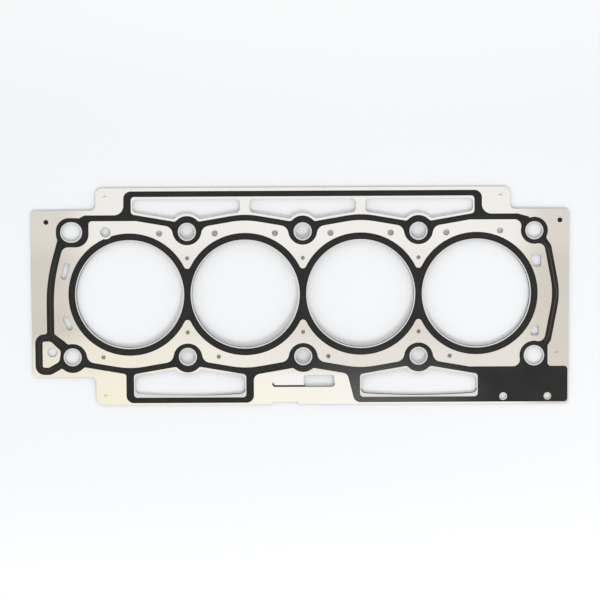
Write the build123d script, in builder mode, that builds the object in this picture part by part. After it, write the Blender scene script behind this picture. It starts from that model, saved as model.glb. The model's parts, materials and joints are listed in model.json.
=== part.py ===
from build123d import *
import os

# Cylinder head gasket of a four-cylinder engine: a thin stainless sheet spot-welded to a thicker
# one, with a black elastomer print on its upper face.
# +X runs along the cylinder row, +Y across it towards the long top window frame, +Z is up.
# The origin is midway between cylinders 2 and 3, on the line through the bore centres, at the
# level of the underside that the gasket lies on. All lengths are in millimetres.
# "The first bolt" is at the left end of a bolt row and "the last" at the right end.

# ---- engine layout --------------------------------------------------------------------------
CYLINDERS = 4
BORE_DIAMETER = 78.4
BORE_BRIDGE = 6.6  # sheet between neighbouring bores
BOLT_BEYOND_BORE = 6.8  # from the edge of the bores to either row of head bolts

# ---- thicknesses ----------------------------------------------------------------------------
UPPER_SHEET_THICKNESS = 0.3
LOWER_SHEET_THICKNESS = 0.5
PRINT_THICKNESS = 0.1

# ---- sheet outline --------------------------------------------------------------------------
LEFT_MARGIN = 29.4  # from the first bolts to the left edge
RIGHT_MARGIN = 25.3  # from the last bolts to the right edge
TOP_MARGIN = 2.4  # bare sheet beyond the top window frame
BOTTOM_MARGIN = 1.3  # and beyond the bottom ones
TOP_SHOULDER = 15.8  # from the top bolt row to the lower steps at both ends of the top edge
BOTTOM_SHOULDER = 14.6  # from the bottom row to the step at the left end of the bottom edge
TOP_TAB_INSET = 18.0  # the wide part of the top edge starts this far inside the end bolts
BOTTOM_TAB_INSET = 17.2
SHEET_CORNER = 2.8
TAB_CORNER = 5.0
SHOULDER_FILLET = 4.0
NOTCH_CENTRE = -13.5  # shallow notch in the bottom edge
NOTCH_WIDTH = 19.0
NOTCH_DEPTH = 1.8
NOTCH_CORNER = 0.8

# ---- round holes ----------------------------------------------------------------------------
BOLT_DIAMETER = 11.4
DOWEL_DIAMETER = 13.2  # bottom right bolt hole, over a hollow dowel
DOWEL_SLOT_LENGTH = 14.2  # top left bolt hole, over the other dowel
LOWER_BORE_LEDGE = 0.3  # the lower sheet reaches this far further into the bores
COOLANT_DIAMETER = 4.6
COOLANT_FROM_ROW = 1.2  # from the top bolt row towards the bores
COOLANT_FROM_BOLT = 20.4  # along the row, to each side of the inner bolts
END_COOLANT_FROM_BORE = 17.3  # the one beyond the last bore, level with the bolt row
STEAM_DIAMETER = 3.0
TOP_STEAM_FROM_ROW = 19.4  # steam holes sit between the bores, this far from each bolt row
BOTTOM_STEAM_FROM_ROW = 18.0
METER_DIAMETER = 3.2
METER_FROM_BORES = (-19.7, -19.7, -24.0, -19.7)  # level with the bottom bolt row
TRANSFER_DIAMETER = 7.7  # the large coolant hole beside cylinder 1, level with the top bolt row
TRANSFER_FROM_BORE = -17.4
ISLAND_HOLE_DIAMETER = 7.6
ISLAND_HOLE_FROM_BOLT = (-14.8, 3.8)
PAD_HOLE_DIAMETER = 4.6
PAD_HOLES_FROM_BOLT = (-22.6, 10.0)
PAD_HOLE_FROM_EDGE = 4.0  # above the bottom edge of the print pad

# ---- slots in the end margins ---------------------------------------------------------------
SLOT_WIDTH = 4.6
SLOT_FROM_PRINT = 5.2  # from the bore print of cylinder 1 to the middle of each slot
UPPER_SLOT_LENGTH = 12.6
UPPER_SLOT_ANGLE = 159.8  # place round the bore, degrees from +X
UPPER_SLOT_TILT = 75.0  # direction of the slot, degrees from +X
LOWER_SLOT_LENGTH = 11.4
LOWER_SLOT_ANGLE = 204.4
LOWER_SLOT_TILT = 113.0
JACKET_CLEARANCE = 1.3  # sheet left between the last bore print and the upper jacket slot
UPPER_JACKET_SPAN = (-5.15, 2.45)  # its ends along the row, from the side of the last bore print
UPPER_JACKET_HEIGHTS = (19.2, 28.6)
LOWER_JACKET_SPAN = (-5.2, 0.85)
LOWER_JACKET_HEIGHTS = (-31.4, -23.8)
JACKET_CORNER = 1.5

# ---- elastomer print ------------------------------------------------------------------------
BORE_RIM = 0.95  # bare steel between a bore and its print
BORE_PRINT_WIDTH = 4.9
BORE_PRINT_FILLET = 2.5  # between neighbouring bore prints
TRANSFER_RIM = 1.35  # the bore print of cylinder 1 steps back this far from the transfer hole
BOLT_RIM = 0.95
RING_RADIUS = 10.7  # outer edge of the print round a bolt hole
RING_SHIFT = 0.9  # that ring sits this far outboard of its hole
END_RING_RADIUS = 9.9  # the ring of the last top bolt, which is centred on its hole
STRIP_WIDTH = 4.3
STRIP_FROM_ROW_AT_BOLT = 3.8  # strip centreline beyond the bolt row, level with a bolt
STRIP_FROM_ROW_AT_BORE = 11.1  # and level with a bore
STRIP_FROM_ROW_AT_END = 10.25  # and where it runs straight to a corner
STRIP_BEND_RADIUS = 60.0
END_FILLET = 5.0
RING_FILLET = 6.2  # print corner between a strip and a ring, towards the bores
WINDOW_RING_FILLET = 2.5  # the same, towards a window
LEFT_TRACE_FROM_PRINT = 13.45  # centreline beyond the side of the first bore print
LEFT_TRACE_WIDTH = 5.4
LEFT_TRACE_BEND_Y = 10.0
LEFT_TRACE_LEAN = 0.28  # towards the bores for each millimetre above the bend
LEFT_TRACE_RADIUS = 120.0
RIGHT_TRACE_FROM_PRINT = 14.05  # where the trace's two straight legs would meet
RIGHT_TRACE_WIDTH = 5.0
RIGHT_TRACE_LEAN = 0.19
RIGHT_TRACE_RADIUS = 55.0
NECK_START = 11.0  # the right trace narrows to the corner rings this far from their bolts
NECK_END = (8.0, 4.5)  # from the bolt, where the narrowed edge has run into the ring
NECK_RADIUS = 6.0

# top left corner pad of the print, round the slotted dowel hole, measured from its centre
LOBE_LEFT = 11.2
LOBE_RIGHT = 12.8
LOBE_BELOW = 11.0
LOBE_ABOVE = 10.5
LOBE_CORNER = 9.6

# ---- windows --------------------------------------------------------------------------------
TOP_WINDOW_DEPTH = 12.45  # from the strip level with a bore to the bar
FRAME_BAR = 4.1  # the print bar along the outer edge of the top window
FRAME_BEYOND_BORE = 4.0  # the top frame ends this far beyond the first and last bores
FRAME_POST = 5.5
FRAME_CORNER = 5.5
FRAME_FILLET = 7.0  # print corner between a post of the top frame and the end of the strip
LOBE_RAMP = (4.0, 10.0)  # the strip slopes down to the lobe between these distances from its bolt
LOBE_RAMP_BITE = 1.0  # and ends this far below the top of the lobe
RING_RAMP = (4.4, 12.4)  # it slopes down to the ring of the last top bolt in the same way
RING_RAMP_RISE = 0.3  # and ends this far above the top of the ring
WINDOW_CORNER = 2.5
WINDOW_LIP = 1.7  # bare steel between print and opening, along the strips and bars
WINDOW_END_LIP = 1.1
OPENING_CORNER = 3.2
RIB_WIDTH = 7.0  # steel between neighbouring top openings
BOTTOM_WINDOW_DEPTH = 16.95
BOTTOM_BAR = 4.0
BOTTOM_POST = 5.6
LEFT_WINDOW_BEYOND_BORES = (2.5, 0.4)  # its ends, to the right of bores 1 and 2
RIGHT_WINDOW_BEYOND_BORES = (-0.7, 1.1)  # and of bores 3 and 4
OPENING_BOW = 1.6  # the bottom openings are this much deeper in the middle than at their ends

# ---- print pad, island and dots -------------------------------------------------------------
PAD_MARGIN = 0.6  # bare sheet to the right of the pad
PAD_BELOW_ROW = 7.9
PAD_CORNER = 2.5
PAD_NECK = 10.0  # print to the right of the round dowel's centre
PAD_HOLE_RIM = 0.5
ISLAND_OUTLINE = (  # from the first bottom bolt
    (-22.1, 11.7),
    (-16.0, 11.7),
    (-8.6, 4.6),
    (-9.8, -3.2),
    (-17.4, -7.6),
    (-22.1, -7.6),
)
ISLAND_SHARP = 1.4  # its two left corners
ISLAND_ROUND = 3.5  # the others
ISLAND_TRACE_WIDTH = 5.4
ISLAND_SHOULDER = (-6.0, 11.8)  # print edge that slopes from the left trace to the ring
ISLAND_SHOULDER_FOOT = (-2.5, 8.5)  # where that edge has run into the ring
ISLAND_RAMP = 5.4
ISLAND_FILLET = 1.8
ISLAND_NECK = (-7.8, -8.5)  # where the print round the island meets the ring again
ISLAND_NECK_FILLET = 1.0
MID_STRIP_DROP = 1.4  # outer edge of the middle bottom strip, beyond the ordinary strip edge
BRACE_TOP_FROM_BORE = 10.5  # leaning left edge of the bottom right window frame
BRACE_BOTTOM_FROM_BORE = 4.6
BRACE_FILLET = 5.0
POST_FILLET = 2.0
DOT_DIAMETER = 3.6
LEFT_DOT_BEYOND_BOLT = 18.4
RIGHT_DOT_BEYOND_BOLT = 18.7
DOT_ABOVE_ROW = 7.5

# ---- slot between the bottom windows --------------------------------------------------------
MID_SLOT_ENDS = (-22.6, 22.8)
MID_SLOT_BELOW_ROW = (22.2, 13.7)
MID_SLOT_CORNER = 2.0
LOWER_SHEET_COVERS_TO = 0.2  # the lower sheet closes the slot from its left end to here

# ---- spot welds -----------------------------------------------------------------------------
WELD_DIAMETER = 2.2
WELD_TOP_DIAMETER = 1.3
WELD_HEIGHT = 0.2
TOP_WELD_INSET = 25.0  # the top welds, from the end bolts towards the middle
TOP_WELD_FROM_EDGE = 6.4
BOTTOM_WELD_INSET = 24.2
BOTTOM_WELD_FROM_EDGE = 6.9
SIDE_WELD_FROM_BOLT = (16.8, 2.0)  # the weld at the right end, from the round dowel's centre

# ---- places worked out from the sizes above -------------------------------------------------
bore_radius = BORE_DIAMETER / 2
bore_pitch = BORE_DIAMETER + BORE_BRIDGE
bolt_row = bore_radius + BOLT_BEYOND_BORE
bore_xs = [(i - (CYLINDERS - 1) / 2) * bore_pitch for i in range(CYLINDERS)]
bolt_xs = [(i - CYLINDERS / 2) * bore_pitch for i in range(CYLINDERS + 1)]
first_bore, last_bore = bore_xs[0], bore_xs[-1]
first_bolt, last_bolt = bolt_xs[0], bolt_xs[-1]
inner_bolts = bolt_xs[1:-1]
bottom_bolts = bolt_xs[:-1]  # the ones along the bottom strip, which ends at the pad

bolt_radius = BOLT_DIAMETER / 2
half_strip = STRIP_WIDTH / 2
strip_at_bolt = bolt_row + STRIP_FROM_ROW_AT_BOLT
strip_at_bore = bolt_row + STRIP_FROM_ROW_AT_BORE
strip_at_end = bolt_row + STRIP_FROM_ROW_AT_END
strip_top = strip_at_end + half_strip
strip_slope = (strip_at_bore - strip_at_bolt) / (bore_pitch / 2)
end_run = (strip_at_end - strip_at_bolt) / strip_slope
ring_y = bolt_row + RING_SHIFT
bore_print_radius = bore_radius + BORE_RIM + BORE_PRINT_WIDTH
left_trace_x = first_bore - bore_print_radius - LEFT_TRACE_FROM_PRINT
right_trace_x = last_bore + bore_print_radius + RIGHT_TRACE_FROM_PRINT

top_bar = strip_at_bore + half_strip + TOP_WINDOW_DEPTH  # inner edge of each frame's bar
bottom_bar = -(strip_at_bore + half_strip + BOTTOM_WINDOW_DEPTH)
frame_top = top_bar + FRAME_BAR
frame_bottom = bottom_bar - BOTTOM_BAR
frame_end = last_bore + FRAME_BEYOND_BORE
left_window_ends = [x + beyond for x, beyond in zip(bore_xs[:2], LEFT_WINDOW_BEYOND_BORES)]
right_window_ends = [x + beyond for x, beyond in zip(bore_xs[-2:], RIGHT_WINDOW_BEYOND_BORES)]

left_edge = first_bolt - LEFT_MARGIN
right_edge = last_bolt + RIGHT_MARGIN
top_edge = frame_top + TOP_MARGIN
bottom_edge = frame_bottom - BOTTOM_MARGIN
top_shoulder = bolt_row + TOP_SHOULDER
bottom_shoulder = -(bolt_row + BOTTOM_SHOULDER)
top_tab_end = last_bolt - TOP_TAB_INSET
bottom_tab_left = first_bolt + BOTTOM_TAB_INSET

slotted_dowel = (first_bolt, bolt_row)
island_bolt = (first_bolt, -bolt_row)
round_dowel = (last_bolt, -bolt_row)
plain_bolts = [(x, bolt_row) for x in bolt_xs[1:]] + [(x, -bolt_row) for x in bottom_bolts]
coolant_y = bolt_row - COOLANT_FROM_ROW
coolant_holes = [(x + way * COOLANT_FROM_BOLT, coolant_y) for x in inner_bolts for way in (-1, 1)]
coolant_holes.append((last_bore + END_COOLANT_FROM_BORE, bolt_row))
steam_holes = [(x, bolt_row - TOP_STEAM_FROM_ROW) for x in inner_bolts]
steam_holes += [(x, BOTTOM_STEAM_FROM_ROW - bolt_row) for x in inner_bolts]
meter_holes = [(x + way, -bolt_row) for x, way in zip(bore_xs, METER_FROM_BORES)]
transfer_hole = (first_bore + TRANSFER_FROM_BORE, bolt_row)
pad_holes = [(last_bolt + x, frame_bottom + PAD_HOLE_FROM_EDGE) for x in PAD_HOLES_FROM_BOLT]


def beside(place, step):
    """The point one step away from a place."""
    return (place[0] + step[0], place[1] + step[1])


island_hole = beside(island_bolt, ISLAND_HOLE_FROM_BOLT)
small_holes = [
    (COOLANT_DIAMETER, coolant_holes),
    (STEAM_DIAMETER, steam_holes),
    (METER_DIAMETER, meter_holes),
    (PAD_HOLE_DIAMETER, pad_holes),
    (TRANSFER_DIAMETER, [transfer_hole]),
    (ISLAND_HOLE_DIAMETER, [island_hole]),
]
welds = [
    (first_bolt + TOP_WELD_INSET, top_edge - TOP_WELD_FROM_EDGE),
    (last_bolt - TOP_WELD_INSET, top_edge - TOP_WELD_FROM_EDGE),
    (first_bolt + BOTTOM_WELD_INSET, bottom_edge + BOTTOM_WELD_FROM_EDGE),
    beside(round_dowel, SIDE_WELD_FROM_BOLT),
]
dots = {
    "left_registration_dot": (first_bolt - LEFT_DOT_BEYOND_BOLT, bolt_row + DOT_ABOVE_ROW),
    "right_registration_dot": (last_bolt + RIGHT_DOT_BEYOND_BOLT, bolt_row + DOT_ABOVE_ROW),
}


def strip_edge(side, bolts, shift, start, stop, level_ends=True):
    """Edge of the print strip from x = start to x = stop, on one side (+1 top, -1 bottom) and
    outboard of the strip's centreline by shift: low beside each bolt and high level with the
    bores. With level ends it rises no further past the outer bolts than to the end height."""
    bends = list(bolts) + [x + bore_pitch / 2 for x in bolts[:-1]]
    if level_ends:
        bends += [bolts[0] - end_run, bolts[-1] + end_run]
    low, high = sorted((start, stop))
    points = []
    for x in [low] + sorted(x for x in bends if low < x < high) + [high]:
        rise = strip_slope * min(abs(x - bolt) for bolt in bolts)
        if level_ends and not bolts[0] <= x <= bolts[-1]:
            rise = min(rise, strip_at_end - strip_at_bolt)
        points.append((x, side * (strip_at_bolt + rise + shift)))
    return points if start < stop else points[::-1]


def left_trace(shift):
    """Edge of the left end trace, outboard of its centreline by shift, from the bottom up."""
    x = left_trace_x - shift
    top = x + LEFT_TRACE_LEAN * (bolt_row - LEFT_TRACE_BEND_Y)
    return [(x, -bolt_row), (x, LEFT_TRACE_BEND_Y), (top, bolt_row)]


def right_trace(shift):
    """Edge of the bowed right end trace, outboard of its centreline by shift, from the top down."""
    x = right_trace_x + shift
    end = x - RIGHT_TRACE_LEAN * bolt_row
    return [(end, bolt_row), (x, 0.0), (end, -bolt_row)]


def necked_trace():
    """Outer edge of the right trace from the top down, drawn in to the corner rings."""
    x = right_trace_x + RIGHT_TRACE_WIDTH / 2
    start_y = bolt_row - NECK_START
    start = (x - RIGHT_TRACE_LEAN * start_y, start_y)
    end = (last_bolt + NECK_END[0], bolt_row - NECK_END[1])
    return [end, start, (x, 0.0), (start[0], -start_y), (end[0], -end[1])]


def corners(sketch, points):
    """The corner of a sketch nearest to each of the points."""
    return [sketch.vertices().sort_by_distance((x, y, 0))[0] for x, y in points]


def ring_necks(side, bolts, shift, radius):
    """The two points beside each bolt where a strip edge meets a ring of this radius."""
    necks = []
    for x in bolts:
        for way in (-1, 1):
            drop = ring_y - strip_at_bolt - shift
            a = 1 + strip_slope**2
            b = -2 * strip_slope * drop
            c = drop**2 - radius**2
            reach = (-b + (b * b - 4 * a * c) ** 0.5) / (2 * a)
            necks.append((x + way * reach, side * (strip_at_bolt + shift + strip_slope * reach)))
    return necks


def soften_bends(sketch, side, shift, bores):
    """Round the bends of a strip edge level with the given bores."""
    bends = [(x, side * (strip_at_bore + shift)) for x in bores]
    fillet(corners(sketch, bends), radius=STRIP_BEND_RADIUS)


def window(side, bolts, left, right, bar, lip=0.0, end_lip=0.0, corner=WINDOW_CORNER, bow=0.0):
    """Sketch of a window between a strip and its bar, drawn in by the two lips. With a bow, its
    edge along the bar is an arc that much nearer the bores at its ends."""
    left, right, bar = left + end_lip, right - end_lip, bar - side * lip
    ends = [(left, bar - side * bow), (right, bar - side * bow)]
    near = strip_edge(side, bolts, half_strip + lip, left, right, level_ends=False)
    with BuildSketch() as opening:
        with BuildLine():
            Polyline(ends[0], *near, ends[1])
            if bow:
                ThreePointArc(ends[1], ((left + right) / 2, bar), ends[0])
            else:
                Line(ends[1], ends[0])
        make_face()
        fillet(corners(opening, [*ends, near[0], near[-1]]), radius=corner)
        well_inside = STRIP_BEND_RADIUS / 4
        inside = [x for x in bore_xs if left + well_inside < x < right - well_inside]
        if inside:
            soften_bends(opening, side, half_strip + lip, inside)
        with Locations(*[(x, side * ring_y) for x in bolts]):
            Circle(RING_RADIUS + lip, mode=Mode.SUBTRACT)
        necks = ring_necks(side, bolts, half_strip + lip, RING_RADIUS + lip)
        fillet(corners(opening, necks), radius=WINDOW_RING_FILLET)
    return opening.sketch


# ---- outer edge of the print ----------------------------------------------------------------
post_left = left_window_ends[0] - BOTTOM_POST
post_right = left_window_ends[1] + BOTTOM_POST
brace_top = bore_xs[-2] - BRACE_TOP_FROM_BORE
brace_bottom = bore_xs[-2] - BRACE_BOTTOM_FROM_BORE
pad_right = right_edge - PAD_MARGIN
pad_top = -(bolt_row + PAD_BELOW_ROW)
pad_neck = last_bolt + PAD_NECK

with BuildSketch() as left_frame:
    feet = [(post_left, frame_bottom), (post_right, frame_bottom)]
    with BuildLine():
        Polyline((post_left, 0), *feet, (post_right, 0), close=True)
    make_face()
    fillet(corners(left_frame, feet), radius=FRAME_CORNER)

with BuildSketch() as right_frame:
    pad_corners = [(pad_right, frame_bottom), (pad_right, pad_top), (pad_neck, pad_top)]
    with BuildLine():
        Polyline(
            (brace_top, 0),
            (brace_top, -strip_at_bore),
            (brace_bottom, frame_bottom),
            *pad_corners,
            (pad_neck, 0),
            close=True,
        )
    make_face()
    fillet(corners(right_frame, [(brace_bottom, frame_bottom)]), radius=FRAME_CORNER)
    fillet(corners(right_frame, pad_corners), radius=PAD_CORNER)

with BuildSketch() as island:
    shore = [beside(island_bolt, step) for step in ISLAND_OUTLINE]
    with BuildLine():
        Polyline(*shore, close=True)
    make_face()
    fillet(corners(island, [shore[0], shore[-1]]), radius=ISLAND_SHARP)
    fillet(corners(island, shore[1:-1]), radius=ISLAND_ROUND)

with BuildSketch() as print_outline:
    left_side = left_trace(LEFT_TRACE_WIDTH / 2)
    right_side = necked_trace()
    half_pitch = bore_pitch / 2
    middle = strip_edge(-1, bottom_bolts, half_strip + MID_STRIP_DROP, half_pitch, -half_pitch)
    with BuildLine():
        Polyline(
            (first_bolt + LOBE_RAMP[0], bolt_row + LOBE_ABOVE - LOBE_RAMP_BITE),
            (first_bolt + LOBE_RAMP[1], strip_top),
            (last_bolt - RING_RAMP[1], strip_top),
            (last_bolt - RING_RAMP[0], bolt_row + END_RING_RADIUS + RING_RAMP_RISE),
            (last_bolt, bolt_row + bolt_radius),
            *right_side,
            *middle,
            *strip_edge(-1, bottom_bolts, half_strip, first_bore, first_bolt),
            *left_side,
            close=True,
        )
    make_face()
    fillet(corners(print_outline, [left_side[1]]), radius=LEFT_TRACE_RADIUS)
    fillet(corners(print_outline, [right_side[2]]), radius=RIGHT_TRACE_RADIUS)
    fillet(corners(print_outline, [right_side[1], right_side[3]]), radius=NECK_RADIUS)
    add(left_frame)
    add(right_frame)
    with Locations((0, frame_top)):
        Rectangle(2 * frame_end, frame_top, align=(Align.CENTER, Align.MAX))
    with Locations((0, -ring_y), (first_bolt, -ring_y)):
        Circle(RING_RADIUS)
    with Locations((last_bolt, bolt_row)):
        Circle(END_RING_RADIUS)
    lobe_shift = ((LOBE_RIGHT - LOBE_LEFT) / 2, (LOBE_ABOVE - LOBE_BELOW) / 2)
    with Locations(beside(slotted_dowel, lobe_shift)):
        RectangleRounded(LOBE_LEFT + LOBE_RIGHT, LOBE_BELOW + LOBE_ABOVE, LOBE_CORNER)
    add(offset(island.sketch, amount=ISLAND_TRACE_WIDTH, mode=Mode.PRIVATE))
    frame_tops = [(-frame_end, frame_top), (frame_end, frame_top)]
    fillet(corners(print_outline, frame_tops), radius=FRAME_CORNER)
    inner_necks = ring_necks(-1, [0.0], half_strip + MID_STRIP_DROP, RING_RADIUS)
    left_neck = ring_necks(-1, [first_bolt], half_strip, RING_RADIUS)[1]
    trace_foot = (left_side[0][0], shore[0][1] + ISLAND_TRACE_WIDTH)
    pad_foot = (pad_neck, (right_side[3][1] + right_side[4][1]) / 2)
    lobe_side = (first_bolt - LOBE_LEFT, bolt_row - LOBE_BELOW + LOBE_CORNER / 2)
    blends = [
        (FRAME_FILLET, [(-frame_end, strip_top), (frame_end, strip_top)]),
        (BRACE_FILLET, [(post_right, middle[-1][1]), (brace_top, middle[0][1])]),
        (WINDOW_RING_FILLET, [*inner_necks, left_neck]),
        (ISLAND_FILLET, [trace_foot]),
        (ISLAND_NECK_FILLET, [beside(island_bolt, ISLAND_NECK)]),
        (WINDOW_RING_FILLET, [right_side[0], pad_foot]),
        (POST_FILLET, [(post_left, -strip_at_bore - half_strip), lobe_side]),
    ]
    for radius, places in blends:
        fillet(corners(print_outline, places), radius=radius)

# ---- bare field inside the print, where the bores and coolant holes are ---------------------
with BuildSketch() as field:
    left_side = left_trace(-LEFT_TRACE_WIDTH / 2)
    right_side = right_trace(-RIGHT_TRACE_WIDTH / 2)
    lobe_foot = beside(slotted_dowel, (LOBE_RIGHT, -LOBE_BELOW))
    trace_end_x = left_side[1][0] + LEFT_TRACE_LEAN * (lobe_foot[1] - LEFT_TRACE_BEND_Y)
    trace_end = (trace_end_x, lobe_foot[1])
    shoulder = beside(island_bolt, ISLAND_SHOULDER)
    ramp_end = (left_side[0][0], shoulder[1] + ISLAND_RAMP)
    with BuildLine():
        Polyline(
            lobe_foot,
            *strip_edge(1, inner_bolts, -half_strip, lobe_foot[0], last_bolt),
            *right_side,
            *strip_edge(-1, bottom_bolts, -half_strip, last_bolt, first_bolt),
            beside(island_bolt, ISLAND_SHOULDER_FOOT),
            shoulder,
            ramp_end,
            left_side[1],
            trace_end,
            close=True,
        )
    make_face()
    fillet(corners(field, [left_side[1]]), radius=LEFT_TRACE_RADIUS)
    fillet(corners(field, [right_side[1]]), radius=RIGHT_TRACE_RADIUS)
    soften_bends(field, 1, -half_strip, bore_xs[1:-1])
    soften_bends(field, -1, -half_strip, bore_xs[:-1])
    fillet(corners(field, [lobe_foot]), radius=LOBE_CORNER)
    fillet(corners(field, [(lobe_foot[0], strip_at_end - half_strip)]), radius=WINDOW_CORNER)
    with Locations(*[(x, side * ring_y) for x in inner_bolts for side in (1, -1)]):
        Circle(RING_RADIUS, mode=Mode.SUBTRACT)
    with Locations(round_dowel, (first_bolt, -ring_y)):
        Circle(RING_RADIUS, mode=Mode.SUBTRACT)
    with Locations((last_bolt, bolt_row)):
        Circle(END_RING_RADIUS, mode=Mode.SUBTRACT)
    top_necks = ring_necks(1, inner_bolts, -half_strip, RING_RADIUS)
    bottom_necks = ring_necks(-1, inner_bolts, -half_strip, RING_RADIUS)
    left_neck = ring_necks(-1, [first_bolt], -half_strip, RING_RADIUS)[1]
    fillet(corners(field, [*top_necks, *bottom_necks, left_neck]), radius=RING_FILLET)
    end_y = strip_at_end - half_strip
    end_x = last_bolt - RING_RADIUS
    fillet(corners(field, [(end_x, end_y), (end_x, -end_y), trace_end]), radius=END_FILLET)
    ring_foot = (last_bolt + RING_RADIUS / 2, bolt_row - RING_RADIUS)
    fillet(corners(field, [ring_foot, (ring_foot[0], -ring_foot[1])]), radius=END_FILLET)
    shoulder_foot = beside(island_bolt, ISLAND_SHOULDER_FOOT)
    fillet(corners(field, [ramp_end, shoulder_foot]), radius=WINDOW_CORNER)

# ---- windows in the print and the smaller openings in the sheets behind them ----------------
top_window = (1, inner_bolts, FRAME_POST - frame_end, frame_end - FRAME_POST, top_bar)
left_window = (-1, inner_bolts[:1], *left_window_ends, bottom_bar)
right_window = (-1, inner_bolts[-1:], *right_window_ends, bottom_bar)
lips = (WINDOW_LIP, WINDOW_END_LIP, OPENING_CORNER)
print_windows = [window(*frame) for frame in (top_window, left_window, right_window)]
bottom_openings = [window(*frame, *lips, OPENING_BOW) for frame in (left_window, right_window)]

with BuildSketch() as top_openings:
    add(window(*top_window, *lips))
    ribs = [(x, strip_at_bore) for x in bore_xs[1:-1]]
    with Locations(*ribs):
        Rectangle(RIB_WIDTH, bore_pitch, mode=Mode.SUBTRACT)
    rib_sides = [x + way * RIB_WIDTH / 2 for x, _ in ribs for way in (-1, 1)]
    rib_corners = [v for v in top_openings.vertices() if min(abs(v.X - x) for x in rib_sides) < 0.01]
    fillet(rib_corners, radius=OPENING_CORNER)

# ---- the two figures of the print -----------------------------------------------------------
with BuildSketch() as perimeter_print:
    add(print_outline)
    add(field, mode=Mode.SUBTRACT)
    add(island, mode=Mode.SUBTRACT)
    add(print_windows, mode=Mode.SUBTRACT)
    with Locations(*plain_bolts):
        Circle(bolt_radius + BOLT_RIM, mode=Mode.SUBTRACT)
    with Locations(slotted_dowel):
        slot_width = DOWEL_DIAMETER + 2 * BOLT_RIM
        SlotOverall(DOWEL_SLOT_LENGTH + 2 * BOLT_RIM, slot_width, mode=Mode.SUBTRACT)
    with Locations(round_dowel):
        Circle(DOWEL_DIAMETER / 2 + BOLT_RIM, mode=Mode.SUBTRACT)
    with Locations(*pad_holes):
        Circle(PAD_HOLE_DIAMETER / 2 + PAD_HOLE_RIM, mode=Mode.SUBTRACT)

with BuildSketch() as bore_print:
    with Locations(*[(x, 0) for x in bore_xs]):
        Circle(bore_print_radius)
    meet_y = (bore_print_radius**2 - (bore_pitch / 2) ** 2) ** 0.5
    meets = [(x, way * meet_y) for x in inner_bolts for way in (-1, 1)]
    fillet(corners(bore_print, meets), radius=BORE_PRINT_FILLET)
    with Locations(*[(x, 0) for x in bore_xs]):
        Circle(bore_radius + BORE_RIM, mode=Mode.SUBTRACT)
    with Locations(transfer_hole):
        Circle(TRANSFER_DIAMETER / 2 + TRANSFER_RIM, mode=Mode.SUBTRACT)

# ---- outline and openings that both sheets share --------------------------------------------
jacket_side = last_bore + bore_print_radius


def end_slot(angle, tilt, length):
    """A straight slot beside the first bore, at this angle round it."""
    place = Vector(bore_print_radius + SLOT_FROM_PRINT, 0).rotate(Axis.Z, angle)
    with BuildSketch() as slot:
        with Locations(Location((first_bore + place.X, place.Y, 0), (0, 0, tilt))):
            SlotOverall(length, SLOT_WIDTH)
    return slot.sketch


def jacket_slot(span, heights, clearance=None):
    """A rounded slot beside the last bore print. With a clearance, it is also cut back to keep
    that far from the print."""
    with BuildSketch() as slot:
        with Locations((jacket_side + sum(span) / 2, sum(heights) / 2)):
            Rectangle(span[1] - span[0], heights[1] - heights[0])
        if clearance:
            with Locations((last_bore, 0)):
                Circle(bore_print_radius + clearance, mode=Mode.SUBTRACT)
        fillet(slot.vertices(), radius=JACKET_CORNER)
    return slot.sketch


def middle_slot(left):
    """The slot between the bottom windows, from x = left to its right end."""
    right = MID_SLOT_ENDS[1]
    low, high = [-(bolt_row + drop) for drop in MID_SLOT_BELOW_ROW]
    with BuildSketch() as slot:
        with Locations(((left + right) / 2, (low + high) / 2)):
            RectangleRounded(right - left, high - low, MID_SLOT_CORNER)
    return slot.sketch


with BuildSketch() as sheet:
    outer_corners = [(left_edge, bottom_shoulder), (left_edge, top_shoulder)]
    outer_corners += [(right_edge, top_shoulder), (right_edge, bottom_edge)]
    tabs = [(-top_tab_end, top_edge), (top_tab_end, top_edge), (bottom_tab_left, bottom_edge)]
    steps = [(-top_tab_end, top_shoulder), (top_tab_end, top_shoulder)]
    steps.append((bottom_tab_left, bottom_shoulder))
    with BuildLine():
        Polyline(
            *outer_corners[:2],
            steps[0],
            *tabs[:2],
            steps[1],
            *outer_corners[2:],
            tabs[2],
            steps[2],
            close=True,
        )
    make_face()
    fillet(corners(sheet, outer_corners), radius=SHEET_CORNER)
    fillet(corners(sheet, tabs), radius=TAB_CORNER)
    fillet(corners(sheet, steps), radius=SHOULDER_FILLET)
    with Locations((NOTCH_CENTRE, bottom_edge)):
        RectangleRounded(NOTCH_WIDTH, 2 * NOTCH_DEPTH, NOTCH_CORNER, mode=Mode.SUBTRACT)
    with Locations(*plain_bolts):
        Circle(bolt_radius, mode=Mode.SUBTRACT)
    with Locations(slotted_dowel):
        SlotOverall(DOWEL_SLOT_LENGTH, DOWEL_DIAMETER, mode=Mode.SUBTRACT)
    with Locations(round_dowel):
        Circle(DOWEL_DIAMETER / 2, mode=Mode.SUBTRACT)
    for diameter, places in small_holes:
        with Locations(*places):
            Circle(diameter / 2, mode=Mode.SUBTRACT)
    add(end_slot(UPPER_SLOT_ANGLE, UPPER_SLOT_TILT, UPPER_SLOT_LENGTH), mode=Mode.SUBTRACT)
    add(end_slot(LOWER_SLOT_ANGLE, LOWER_SLOT_TILT, LOWER_SLOT_LENGTH), mode=Mode.SUBTRACT)
    upper_jacket = jacket_slot(UPPER_JACKET_SPAN, UPPER_JACKET_HEIGHTS, JACKET_CLEARANCE)
    add([upper_jacket, jacket_slot(LOWER_JACKET_SPAN, LOWER_JACKET_HEIGHTS)], mode=Mode.SUBTRACT)
    add(top_openings, mode=Mode.SUBTRACT)
    add(bottom_openings, mode=Mode.SUBTRACT)

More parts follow.
